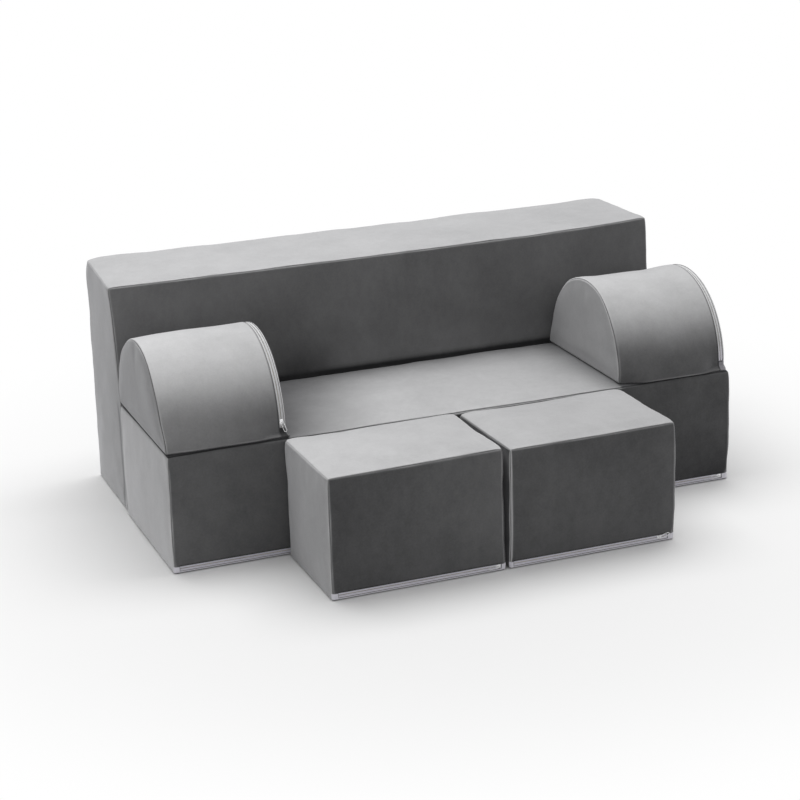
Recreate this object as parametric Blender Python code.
"""A modular foam play sofa: a seat, a backrest, two half-round arm bolsters and two ottomans.

Each module is a foam core in an inner liner, inside a velvet cover that closes with a coil zip.
The sofa stands on Z = 0 with its front towards -Y, and the middle of its outer box is at X = Y = 0.
"""

import math

import bmesh
import bpy
from mathutils import Matrix, Vector

# Driving dimensions of the modules, in metres
SOFA_WIDTH = 1.200
SEAT_DEPTH = 0.350
SEAT_HEIGHT = 0.240
BACK_THICKNESS = 0.240
BACK_HEIGHT = 0.480
BACK_GAP = 0.013  # from the seat's rear to the backrest's front
BOLSTER_WIDTH = 0.242
BOLSTER_FRONT_SET = 0.014  # from the seat's front back to the bolster's front
BOLSTER_SKIRT = 0.012  # upright strip under the half circle
OTTOMAN_WIDTH = 0.350
OTTOMAN_DEPTH = 0.240
OTTOMAN_HEIGHT = 0.240
OTTOMAN_GAP = 0.008  # from the seat's front to the ottomans' rear
OTTOMAN_PAIR_GAP = 0.006
OTTOMAN_PAIR_X = -0.013  # middle of the gap between the ottomans

# Upholstered form
EDGE_ROUND = 0.009
BASE_ROUND = 0.004  # edges on the floor, and the rim beside a bolster's zip
BOLSTER_ROUND = 0.006
BLOCK_CROWN = 0.003
OTTOMAN_CROWN = 0.0025
BOLSTER_END_CROWN = 0.0025
BOLSTER_ARCH_CROWN = 0.0015
EDGE_DRAW = 0.0015  # how far an edge is pulled in halfway between two corners

# Skins of a module, from the outside in
COVER_WALL = 0.0012
LINER_WALL = 0.0006
CORE_ROUND = 0.007
GAP = 0.0003

# Coil zip
ZIP_SET = 0.0095  # from the edge that it follows to the middle of the zip
BACK_ZIP_HEIGHT = 0.030
ZIP_END_SET = 0.010  # from a module's end face to the end of its zip
ZIP_END_ANGLE = math.radians(2)
SLOT_HALF = 0.0048
TAPE_HALF = 0.0056
PARTING_HALF = 0.0008
TAPE_THICKNESS = 0.0006
COIL_WIDTH = 0.0024
COIL_THICKNESS = 0.0016
CHANNEL_HALF = 0.0065
SLIDER_PLAY = 0.0005
CUT_OVERRUN = 0.006

# Zip slider
SLIDER_LENGTH = 0.010
SLIDER_WIDTH = 0.008
SLIDER_PLATE = 0.0008
SLIDER_CORNER = 0.0015
SLIDER_END_GAP = 0.0015
POST_LENGTH = 0.002
POST_WIDTH = 0.001
BAIL_OPENING = 0.0026
BAIL_BAR = 0.0008
BAIL_WIDTH = 0.001
BAIL_FOOT = 0.001
SEAT_IN = 0.0003  # how deep joined lumps of the slider run into each other

# Pull tab
PULL_LENGTH = 0.022
PULL_WIDTH = 0.0066
PULL_RAIL = 0.001
PULL_TILT = math.radians(8)

# Where the sliders stand
OTTOMAN_SLIDER_SET = 0.028  # from the right ottoman's right end
BOLSTER_SLIDER_RISE = 0.030  # over the left bolster's base
BOLSTER_REAR_PARK = math.radians(30)  # up the right bolster's rear quarter
PULL_SKEW = math.radians(18)
PULL_HANG = math.radians(-90)

# Counts
ARCH_STEPS = 30
BLOCK_CUTS = 5
BLOCK_SHORT_CUTS = 3
BOLSTER_CUTS = 3
ROUND_SEGMENTS = 2
TIP_STEPS = 8
CUTTER_SHIFT_SHARE = 0.5  # of an arch step, so that a cutter's corners miss the arch's

# Depths below the cover's face, worked out from the skins and the zip
TAPE_FRONT = COVER_WALL + GAP
TAPE_BACK = TAPE_FRONT + TAPE_THICKNESS
COIL_FRONT = TAPE_BACK + GAP
COIL_BACK = COIL_FRONT + COIL_THICKNESS
UNDERPLATE_FRONT = COIL_BACK + SLIDER_PLAY
UNDERPLATE_BACK = UNDERPLATE_FRONT + SLIDER_PLATE
CHANNEL_DEPTH = UNDERPLATE_BACK + SLIDER_PLAY
TOPPLATE_BACK = TAPE_FRONT - GAP
TOPPLATE_FRONT = TOPPLATE_BACK - SLIDER_PLATE
BAIL_INNER = TOPPLATE_FRONT - BAIL_OPENING
BAIL_OUTER = BAIL_INNER - BAIL_BAR
PULL_AXIS_DEPTH = TOPPLATE_FRONT - GAP - PULL_RAIL / 2

# Places of the modules, worked out from their sizes, with Y = 0 at the seat's front for now
BOLSTER_DEPTH = SEAT_DEPTH - BOLSTER_FRONT_SET
BOLSTER_RADIUS = BOLSTER_DEPTH / 2
SOFA_REAR = SEAT_DEPTH + BACK_GAP + BACK_THICKNESS
SOFA_FRONT = -OTTOMAN_GAP - OTTOMAN_DEPTH
MIDDLE_Y = (SOFA_REAR + SOFA_FRONT) / 2
SEAT_Y = SEAT_DEPTH / 2 - MIDDLE_Y
BACK_Y = SOFA_REAR - BACK_THICKNESS / 2 - MIDDLE_Y
BOLSTER_X = (SOFA_WIDTH - BOLSTER_WIDTH) / 2
BOLSTER_Y = SEAT_DEPTH - BOLSTER_RADIUS - MIDDLE_Y
BOLSTER_Z = SEAT_HEIGHT + GAP
OTTOMAN_X = (OTTOMAN_WIDTH + OTTOMAN_PAIR_GAP) / 2
OTTOMAN_Y = -OTTOMAN_GAP - OTTOMAN_DEPTH / 2 - MIDDLE_Y
SEAT_CROWN_HALF = SOFA_WIDTH / 2 - BOLSTER_WIDTH - GAP


def clear_scene():
    """Remove every object of the startup scene."""
    for thing in list(bpy.data.objects):
        bpy.data.objects.remove(thing, do_unlink=True)


def make_material(name, colour, roughness, metallic):
    """A Principled material in one colour."""
    material = bpy.data.materials.new(name)
    material.use_nodes = True
    shader = material.node_tree.nodes["Principled BSDF"]
    shader.inputs["Base Color"].default_value = (*colour, 1)
    shader.inputs["Roughness"].default_value = roughness
    shader.inputs["Metallic"].default_value = metallic
    return material


def add_object(name, mesh, parent, material):
    """Link a mesh to the scene as a named object under its parent."""
    thing = bpy.data.objects.new(name, mesh)
    bpy.context.scene.collection.objects.link(thing)
    thing.parent = parent
    if material and not mesh.materials:
        mesh.materials.append(material)
    return thing


def add_empty(name, location, parent=None, turn=0.0):
    """An empty that carries a module or marks a joint's axis."""
    empty = bpy.data.objects.new(name, None)
    bpy.context.scene.collection.objects.link(empty)
    empty.location = location
    empty.rotation_euler = (0, 0, turn)
    empty.parent = parent
    return empty


def mesh_from(name, bm):
    """Turn a bmesh into a smooth-shaded mesh whose hard corners stay sharp."""
    bmesh.ops.recalc_face_normals(bm, faces=bm.faces)
    mesh = bpy.data.meshes.new(name)
    bm.to_mesh(mesh)
    bm.free()
    mesh.shade_smooth()
    mesh.set_sharp_from_angle(angle=math.radians(40))
    return mesh


def box_bmesh(low, high):
    """A closed box between two corners."""
    bm = bmesh.new()
    size = [high[axis] - low[axis] for axis in range(3)]
    middle = [(high[axis] + low[axis]) / 2 for axis in range(3)]
    place = Matrix.Translation(middle) @ Matrix.Diagonal((*size, 1))
    bmesh.ops.create_cube(bm, size=1, matrix=place)
    return bm


def cut_lines(bm, axis, places):
    """Add edge loops across one axis, at the places given."""
    normal = Vector((0, 0, 0))
    normal[axis] = 1
    for place in places:
        bmesh.ops.bisect_plane(bm, geom=bm.verts[:] + bm.edges[:] + bm.faces[:], plane_co=normal * place,
                               plane_no=normal)


def even_places(low, high, count):
    """Places that divide a length into count + 1 equal parts."""
    step = (high - low) / (count + 1)
    return [low + step * (index + 1) for index in range(count)]


def add_modifier(thing, kind, **settings):
    """Add a modifier with its settings."""
    modifier = thing.modifiers.new(kind.title(), kind)
    for key, value in settings.items():
        setattr(modifier, key, value)
    return modifier


def add_cut(thing, cutter):
    """Cut one object by another, which doesn't render."""
    cutter.hide_render = True
    cutter.display_type = "WIRE"
    add_modifier(thing, "BOOLEAN", operation="DIFFERENCE", solver="EXACT", object=cutter)


def hollow(thing, wall):
    """Leave only a skin of the object, measured inwards."""
    add_modifier(thing, "SOLIDIFY", thickness=wall, offset=-1, use_even_offset=True)


def round_edges(thing, width):
    """Round the edges that carry a bevel weight."""
    add_modifier(thing, "BEVEL", width=width, segments=ROUND_SEGMENTS, limit_method="WEIGHT",
                 offset_type="OFFSET", use_clamp_overlap=False)


def weigh_edges(bm, share_of):
    """Give each edge between two sides of the form its share of the rounding."""
    layer = bm.edges.layers.float.new("bevel_weight_edge")
    for edge in bm.edges:
        edge[layer] = share_of(edge)


def crown_half_span(place, half):
    """1 in the middle of a span and 0 at its ends and past them."""
    return max(0.0, 1 - (place / half) ** 2)


def bulge(first, second, crown, draw):
    """How far a face stands out where its two spans have these values, and is drawn in at its edges."""
    return crown * first * second - draw * (first * (1 - second) + second * (1 - first))


def shape_block(bm, size, crown, crown_half):
    """Crown the faces of a block, draw its upper edges in, and leave its base flat."""
    half_x, half_y = size[0] / 2, size[1] / 2
    height = size[2]
    for vert in bm.verts:
        x, y, z = vert.co
        rise_share = z / height
        across = 1 - (2 * rise_share - 1) ** 2
        draw = EDGE_DRAW * rise_share
        span_x = crown_half_span(x, half_x)
        span_y = crown_half_span(y, half_y)
        top_span = crown_half_span(x, crown_half)
        vert.co.x += x / half_x * bulge(span_y, across, crown, draw)
        vert.co.y += y / half_y * bulge(span_x, across, crown, draw)
        top_draw = draw if crown_half == half_x else 0
        vert.co.z += rise_share * bulge(top_span, span_y, crown, top_draw) * (rise_share > 0.5)


def block_weight(edge):
    """Full rounding on a block's upper and upright edges, and the base's smaller one on its lowest."""
    first, second = (face.normal for face in edge.link_faces)
    if first.dot(second) > 0.5:
        return 0.0
    if min(first.z, second.z) < -0.9:
        return BASE_ROUND / EDGE_ROUND
    return 1.0


def block_cover_mesh(name, size, crown, crown_half):
    """The outer form of a block module's cover, on its base centre."""
    half_x, half_y = size[0] / 2, size[1] / 2
    bm = box_bmesh((-half_x, -half_y, 0), (half_x, half_y, size[2]))
    inner = even_places(-crown_half, crown_half, BLOCK_CUTS)
    outer = [] if crown_half == half_x else [-crown_half, crown_half]
    cut_lines(bm, 0, inner + outer)
    cut_lines(bm, 1, even_places(-half_y, half_y, BLOCK_SHORT_CUTS))
    cut_lines(bm, 2, even_places(0, size[2], BLOCK_SHORT_CUTS))
    bm.normal_update()
    weigh_edges(bm, block_weight)
    shape_block(bm, size, crown, crown_half)
    return mesh_from(name, bm)


def block_core_mesh(name, size, side_inset, base_inset):
    """A plain block set in from a module's outer size, with chamfered edges."""
    half_x, half_y = size[0] / 2 - side_inset, size[1] / 2 - side_inset
    bm = box_bmesh((-half_x, -half_y, base_inset), (half_x, half_y, size[2] - side_inset))
    bmesh.ops.bevel(bm, geom=bm.edges[:], offset=CORE_ROUND, segments=1, affect="EDGES")
    return mesh_from(name, bm)


def arch_point(radius, rise, angle):
    """A point of the half circle, in Y and Z, with the front at angle 0."""
    return -radius * math.cos(angle), rise + radius * math.sin(angle)


def arch_bmesh(half_width, radius, skirt, base):
    """A half-round prism along X on an upright skirt."""
    bm = bmesh.new()
    outline = [(-radius, base)]
    outline += [arch_point(radius, skirt, math.pi * step / ARCH_STEPS) for step in range(ARCH_STEPS + 1)]
    outline += [(radius, base)]
    ring = [bm.verts.new((-half_width, y, z)) for y, z in outline]
    face = bm.faces.new(ring)
    made = bmesh.ops.extrude_face_region(bm, geom=[face])["geom"]
    moved = [item for item in made if isinstance(item, bmesh.types.BMVert)]
    bmesh.ops.translate(bm, vec=(2 * half_width, 0, 0), verts=moved)
    bmesh.ops.recalc_face_normals(bm, faces=bm.faces)
    return bm


def fill_arch_ends(bm):
    """Give both half-round end faces a centre point and a ring halfway out."""
    ends = [face for face in bm.faces if abs(face.normal.x) > 0.9]
    centres = bmesh.ops.poke(bm, faces=ends)["verts"]
    spokes = list({edge for vert in centres for edge in vert.link_edges})
    bmesh.ops.subdivide_edges(bm, edges=spokes, cuts=1)


def shape_arch(bm, half_width, radius):
    """Crown the half-round ends and the arch between them, and leave the base flat."""
    for vert in bm.verts:
        x, y, z = vert.co
        from_axis = math.hypot(y, z - BOLSTER_SKIRT) / radius
        if abs(x) > half_width - GAP:
            low_share = min(1.0, 4 * z / radius)
            vert.co.x += math.copysign(BOLSTER_END_CROWN, x) * max(0.0, 1 - from_axis ** 2) * low_share
        elif z > BOLSTER_SKIRT:
            stretch = BOLSTER_ARCH_CROWN * crown_half_span(x, half_width) / radius
            vert.co.y += y * stretch
            vert.co.z += (z - BOLSTER_SKIRT) * stretch


def arch_weight(edge):
    """Rounding on the rims and the long base edges, and the smaller one beside the zip."""
    first, second = (face.normal for face in edge.link_faces)
    if first.dot(second) > 0.5:
        return 0.0
    if max(first.x, second.x) > 0.9:
        return BASE_ROUND / BOLSTER_ROUND
    return 1.0


def bolster_cover_mesh(name):
    """The outer form of a bolster's cover, on its base centre."""
    half = BOLSTER_WIDTH / 2
    bm = arch_bmesh(half, BOLSTER_RADIUS, BOLSTER_SKIRT, 0)
    cut_lines(bm, 0, even_places(-half, half, BOLSTER_CUTS))
    bm.normal_update()
    weigh_edges(bm, arch_weight)
    fill_arch_ends(bm)
    shape_arch(bm, half, BOLSTER_RADIUS)
    return mesh_from(name, bm)


def bolster_core_mesh(name, inset):
    """A plain half-round block set in from a bolster's outer size."""
    half = BOLSTER_WIDTH / 2 - inset
    bm = arch_bmesh(half, BOLSTER_RADIUS - inset, BOLSTER_SKIRT, inset)
    bm.normal_update()
    rims = [edge for edge in bm.edges if edge.calc_face_angle() > 1]
    bmesh.ops.bevel(bm, geom=rims, offset=CORE_ROUND, segments=1, affect="EDGES")
    return mesh_from(name, bm)


def frame_matrix(point, along, inward):
    """A matrix whose X runs along the zip, Y into the module and Z across the zip."""
    across = along.cross(inward)
    turn = Matrix((along, inward, across)).transposed().to_4x4()
    return Matrix.Translation(point) @ turn


def straight_frame(size, zip_height, x):
    """The zip's frame at x on a block's front face."""
    return frame_matrix(Vector((x, -size[1] / 2, zip_height)), Vector((1, 0, 0)), Vector((0, 1, 0)))


def arch_frame(angle, closing):
    """The zip's frame at an angle round a bolster; closing is -1 towards the front and 1 towards the rear."""
    y, z = arch_point(BOLSTER_RADIUS, BOLSTER_SKIRT, angle)
    along = Vector((0, math.sin(angle), math.cos(angle))) * closing
    inward = Vector((0, math.cos(angle), -math.sin(angle)))
    return frame_matrix(Vector((BOLSTER_WIDTH / 2 - ZIP_SET, y, z)), along, inward)


def straight_path(size, zip_height):
    """Frames at both ends of a block's zip."""
    reach = size[0] / 2 - ZIP_END_SET
    return [straight_frame(size, zip_height, x) for x in (-reach, reach)]


def arch_path(shift_share=0.0):
    """Frames round a bolster's zip, at the arch's own steps or a share of a step past them."""
    inner = [math.pi * (step + shift_share) / ARCH_STEPS for step in range(1, ARCH_STEPS)]
    angles = [ZIP_END_ANGLE] + inner + [math.pi - ZIP_END_ANGLE]
    return [arch_frame(angle, -1) for angle in angles]


def band_mesh(name, path, depths, sides):
    """A strip along the zip's path, between two depths and two places across."""
    bm = bmesh.new()
    corners = [(depths[0], sides[0]), (depths[1], sides[0]), (depths[1], sides[1]), (depths[0], sides[1])]
    rings = []
    for frame in path:
        rings.append([bm.verts.new(frame @ Vector((0, depth, side))) for depth, side in corners])
    for before, after in zip(rings, rings[1:]):
        for index in range(4):
            following = (index + 1) % 4
            bm.faces.new((before[index], before[following], after[following], after[index]))
    bm.faces.new(rings[0])
    bm.faces.new(rings[-1])
    return mesh_from(name, bm)


def add_zip_tapes(name, path, parent, side_names):
    """The two tapes and, behind them, the two rows of coil."""
    for sign, side in zip((1, -1), side_names):
        sides = (sign * PARTING_HALF, sign * TAPE_HALF)
        mesh = band_mesh(f"{name}_zip_tape_{side}", path, (TAPE_FRONT, TAPE_BACK), sides)
        add_object(mesh.name, mesh, parent, TAPE)
        sides = (sign * PARTING_HALF, sign * (PARTING_HALF + COIL_WIDTH))
        mesh = band_mesh(f"{name}_zip_coil_{side}", path, (COIL_FRONT, COIL_BACK), sides)
        add_object(mesh.name, mesh, parent, COIL)


def add_skins(name, parent, path, rounding, cover_mesh, liner_mesh, core_mesh):
    """Cover with its zip slot, liner with its opening, and foam core with the zip's channel."""
    slot_mesh = band_mesh("slot", path, (-CUT_OVERRUN, CUT_OVERRUN), (-SLOT_HALF, SLOT_HALF))
    slot = add_object(f"{name}_slot_cutter", slot_mesh, parent, None)
    channel_mesh = band_mesh("channel", path, (-CUT_OVERRUN, CHANNEL_DEPTH), (-CHANNEL_HALF, CHANNEL_HALF))
    channel = add_object(f"{name}_channel_cutter", channel_mesh, parent, None)
    cover = add_object(f"{name}_cover", cover_mesh, parent, VELVET)
    round_edges(cover, rounding)
    hollow(cover, COVER_WALL)
    add_cut(cover, slot)
    liner = add_object(f"{name}_inner_liner", liner_mesh, parent, LINER)
    hollow(liner, LINER_WALL)
    add_cut(liner, channel)
    core = add_object(f"{name}_foam_core", core_mesh, parent, FOAM)
    add_cut(core, channel)


def solid_mesh(name, base, others, operation):
    """One closed mesh from a box and the boxes joined to it or cut from it."""
    body = add_object(name, mesh_from(name, base), None, None)
    helpers = [add_object(f"{name}_helper", mesh_from(f"{name}_helper", other), None, None) for other in others]
    for helper in helpers:
        add_modifier(body, "BOOLEAN", operation=operation, solver="EXACT", object=helper)
    bpy.context.view_layer.update()
    evaluated = body.evaluated_get(bpy.context.evaluated_depsgraph_get())
    mesh = bpy.data.meshes.new_from_object(evaluated)
    mesh.name = name
    for thing in [body, *helpers]:
        bpy.data.objects.remove(thing, do_unlink=True)
    return mesh


def plate_bmesh(depths, half_length, half_width):
    """A slider plate with its four upright corners rounded."""
    bm = box_bmesh((-half_length, depths[0], -half_width), (half_length, depths[1], half_width))
    corners = [edge for edge in bm.edges if abs((edge.verts[0].co - edge.verts[1].co).normalized().y) > 0.9]
    bmesh.ops.bevel(bm, geom=corners, offset=SLIDER_CORNER, segments=ROUND_SEGMENTS, affect="EDGES")
    return bm


def slider_mesh():
    """Top plate, under plate, the post between them, and the bail over the top plate."""
    half, wide = SLIDER_LENGTH / 2, SLIDER_WIDTH / 2
    top = plate_bmesh((TOPPLATE_FRONT, TOPPLATE_BACK), half, wide)
    under = plate_bmesh((UNDERPLATE_FRONT, UNDERPLATE_BACK), half, wide)
    nose = half - SLIDER_CORNER
    post = box_bmesh((nose - POST_LENGTH, TOPPLATE_BACK - SEAT_IN, -POST_WIDTH / 2),
                     (nose, UNDERPLATE_FRONT + SEAT_IN, POST_WIDTH / 2))
    reach = half - SEAT_IN
    bail = box_bmesh((-reach, BAIL_OUTER, -BAIL_WIDTH / 2), (reach, BAIL_INNER, BAIL_WIDTH / 2))
    feet = []
    for start in (-reach, reach - BAIL_FOOT):
        feet.append(box_bmesh((start, BAIL_OUTER + SEAT_IN, -BAIL_WIDTH / 2 - SEAT_IN / 2),
                              (start + BAIL_FOOT, TOPPLATE_FRONT + SEAT_IN, BAIL_WIDTH / 2 + SEAT_IN / 2)))
    return solid_mesh("zip_slider", top, [post, under, *feet, bail], "UNION")


def pull_outline(half_width, start, end):
    """A long tab's outline in X and Z with a round far end."""
    points = [(start, -half_width)]
    for step in range(TIP_STEPS + 1):
        angle = math.pi * (step / TIP_STEPS - 0.5)
        points.append((end - half_width + half_width * math.cos(angle), half_width * math.sin(angle)))
    points.append((start, half_width))
    return points


def tab_bmesh(outline, half_thickness):
    """The outline as a flat plate."""
    bm = bmesh.new()
    face = bm.faces.new([bm.verts.new((x, -half_thickness, z)) for x, z in outline])
    made = bmesh.ops.extrude_face_region(bm, geom=[face])["geom"]
    moved = [item for item in made if isinstance(item, bmesh.types.BMVert)]
    bmesh.ops.translate(bm, vec=(0, 2 * half_thickness, 0), verts=moved)
    bmesh.ops.recalc_face_normals(bm, faces=bm.faces)
    return bm


def pull_mesh():
    """A long ring whose near bar is the hinge, with its axis at the origin."""
    half = PULL_RAIL / 2
    plate = tab_bmesh(pull_outline(PULL_WIDTH / 2, -half, PULL_LENGTH - half), half)
    window = tab_bmesh(pull_outline(PULL_WIDTH / 2 - PULL_RAIL, half, PULL_LENGTH - half - PULL_RAIL),
                       half + PULL_RAIL)
    return solid_mesh("zip_pull", plate, [window], "DIFFERENCE")


def add_slider(name, parent, frame, direction, skew):
    """Place a slider in the zip's frame, and its pull along or against the closing way."""
    slider = add_object(f"{name}_zip_slider", SLIDER_MESH, parent, METAL)
    slider.matrix_local = frame
    along = Vector((direction * math.cos(skew), 0, math.sin(skew)))
    inward = Vector((0, 1, 0))
    tilted = along * math.cos(PULL_TILT) - inward * math.sin(PULL_TILT)
    under = inward * math.cos(PULL_TILT) + along * math.sin(PULL_TILT)
    pull = add_object(f"{name}_zip_pull", PULL_MESH, parent, METAL)
    pull.matrix_local = frame @ frame_matrix(inward * PULL_AXIS_DEPTH, tilted, under)


def add_block(name, size, place, turn, crown, crown_half, zip_height, slider_set, direction, skew):
    """One block module: its skins, zip, slider and pull."""
    module = add_empty(f"{name}_module", place, turn=turn)
    path = straight_path(size, zip_height)
    side_inset = COVER_WALL + EDGE_DRAW + GAP
    base_inset = COVER_WALL + GAP
    step = LINER_WALL + GAP
    add_skins(name, module, path, EDGE_ROUND,
              block_cover_mesh(f"{name}_cover", size, crown, crown_half),
              block_core_mesh(f"{name}_inner_liner", size, side_inset, base_inset),
              block_core_mesh(f"{name}_foam_core", size, side_inset + step, base_inset + step))
    add_zip_tapes(name, path, module, ("upper", "lower"))
    frame = straight_frame(size, zip_height, size[0] / 2 - slider_set)
    add_slider(name, module, frame, direction, skew)


def add_bolster(name, x, angle, closing, skew):
    """One bolster: its skins, zip round the arch, slider and pull."""
    module = add_empty(f"{name}_module", (x, BOLSTER_Y, BOLSTER_Z))
    inset = COVER_WALL + GAP
    add_skins(name, module, arch_path(CUTTER_SHIFT_SHARE), BOLSTER_ROUND,
              bolster_cover_mesh(f"{name}_cover"),
              bolster_core_mesh(f"{name}_inner_liner", inset),
              bolster_core_mesh(f"{name}_foam_core", inset + LINER_WALL + GAP))
    add_zip_tapes(name, arch_path(), module, ("end_side", "arch_side"))
    axis = add_empty(f"{name}_zip_axis", (0, 0, BOLSTER_SKIRT), module)
    frame = Matrix.Translation((0, 0, -BOLSTER_SKIRT)) @ arch_frame(angle, closing)
    add_slider(name, axis, frame, 1, skew)


def build_sofa():
    """Place the six modules."""
    end_set = ZIP_END_SET + SLIDER_END_GAP + SLIDER_LENGTH / 2
    ottoman = (OTTOMAN_WIDTH, OTTOMAN_DEPTH, OTTOMAN_HEIGHT)
    half = OTTOMAN_WIDTH / 2
    add_block("seat", (SOFA_WIDTH, SEAT_DEPTH, SEAT_HEIGHT), (0, SEAT_Y, 0), 0.0, BLOCK_CROWN,
              SEAT_CROWN_HALF, ZIP_SET, end_set, -1, 0.0)
    add_block("backrest", (SOFA_WIDTH, BACK_THICKNESS, BACK_HEIGHT), (0, BACK_Y, 0), math.pi, BLOCK_CROWN,
              SOFA_WIDTH / 2, BACK_ZIP_HEIGHT, end_set, 1, PULL_HANG)
    add_block("ottoman_left", ottoman, (OTTOMAN_PAIR_X - OTTOMAN_X, OTTOMAN_Y, 0), 0.0, OTTOMAN_CROWN,
              half, ZIP_SET, end_set, -1, 0.0)
    add_block("ottoman_right", ottoman, (OTTOMAN_PAIR_X + OTTOMAN_X, OTTOMAN_Y, 0), 0.0, OTTOMAN_CROWN,
              half, ZIP_SET, OTTOMAN_SLIDER_SET, 1, PULL_SKEW)
    front_angle = math.asin((BOLSTER_SLIDER_RISE - BOLSTER_SKIRT) / BOLSTER_RADIUS)
    add_bolster("bolster_left", -BOLSTER_X, front_angle, -1, PULL_SKEW)
    add_bolster("bolster_right", BOLSTER_X, math.pi - BOLSTER_REAR_PARK, 1, 0.0)


clear_scene()
VELVET = make_material("grey_velvet", (0.22, 0.22, 0.23), 0.85, 0.0)
LINER = make_material("liner_cloth", (0.80, 0.80, 0.78), 0.90, 0.0)
FOAM = make_material("cream_foam", (0.85, 0.78, 0.55), 0.95, 0.0)
TAPE = make_material("zip_tape", (0.32, 0.31, 0.35), 0.80, 0.0)
COIL = make_material("zip_coil", (0.40, 0.39, 0.43), 0.45, 0.0)
METAL = make_material("zip_metal", (0.55, 0.55, 0.57), 0.30, 1.0)
SLIDER_MESH = slider_mesh()
PULL_MESH = pull_mesh()
build_sofa()
